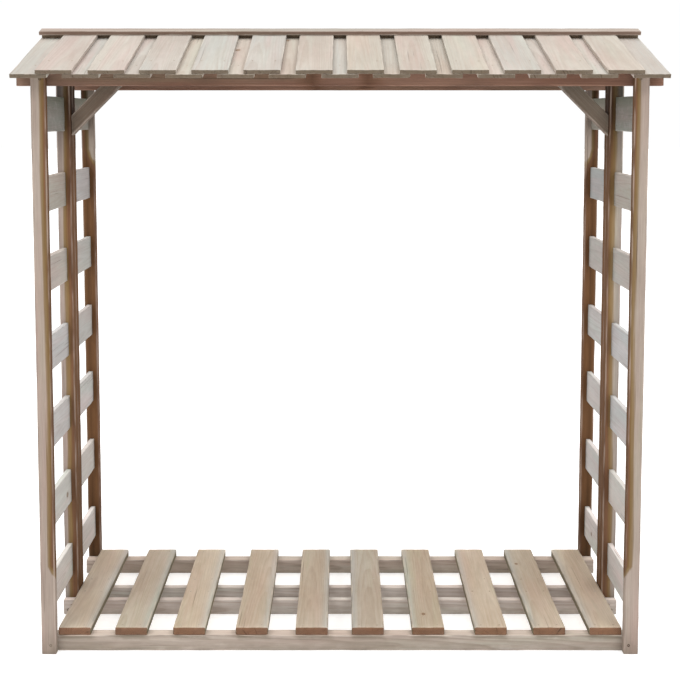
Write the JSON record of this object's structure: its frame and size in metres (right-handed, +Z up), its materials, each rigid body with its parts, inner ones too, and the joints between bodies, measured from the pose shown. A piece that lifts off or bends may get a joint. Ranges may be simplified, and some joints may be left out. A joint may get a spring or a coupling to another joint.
{
  "type": "log store",
  "caption": "Open-fronted timber log store with slatted sides, a slatted floor on ground beams and a boarded gable roof on posts with knee braces.",
  "frame": {"origin": "on the ground at the middle of the plan", "axes": "+X to the right as seen from the front, +Y towards the back, +Z up; the open front faces -Y"},
  "size_m": [1.846, 0.9086, 1.8431],
  "materials": {
    "roof_boards": "rough-sawn softwood boards, pale and weathered",
    "side_slats": "rough-sawn softwood slats, grey-white",
    "floor_slats": "rough-sawn softwood slats, warm beige",
    "posts": "sawn softwood, pale with brown streaks",
    "framing": "sawn softwood, brown to grey-beige"
  },
  "bodies": {
    "root": {"base_beam_back": "framing", "base_beam_front": "framing", "base_beam_middle_back": "framing", "base_beam_middle_front": "framing", "brace_left": "framing", "brace_right": "framing", "floor_slat_01": "floor_slats", "floor_slat_02": "floor_slats", "floor_slat_03": "floor_slats", "floor_slat_04": "floor_slats", "floor_slat_05": "floor_slats", "floor_slat_06": "floor_slats", "floor_slat_07": "floor_slats", "floor_slat_08": "floor_slats", "floor_slat_09": "floor_slats", "floor_slat_10": "floor_slats", "post_back_left": "posts", "post_back_right": "posts", "post_front_left": "posts", "post_front_right": "posts", "post_middle_left_back": "posts", "post_middle_left_front": "posts", "post_middle_right_back": "posts", "post_middle_right_front": "posts", "purlin_back": "framing", "purlin_front": "framing", "ridge_beam": "framing", "ridge_cap_back": "roof_boards", "ridge_cap_front": "roof_boards", "roof_boards_lower_back": "roof_boards", "roof_boards_lower_front": "roof_boards", "roof_boards_upper_back": "roof_boards", "roof_boards_upper_front": "roof_boards", "side_slats_left_back": "side_slats", "side_slats_left_front": "side_slats", "side_slats_right_back": "side_slats", "side_slats_right_front": "side_slats"}
  },
  "joints": []
}
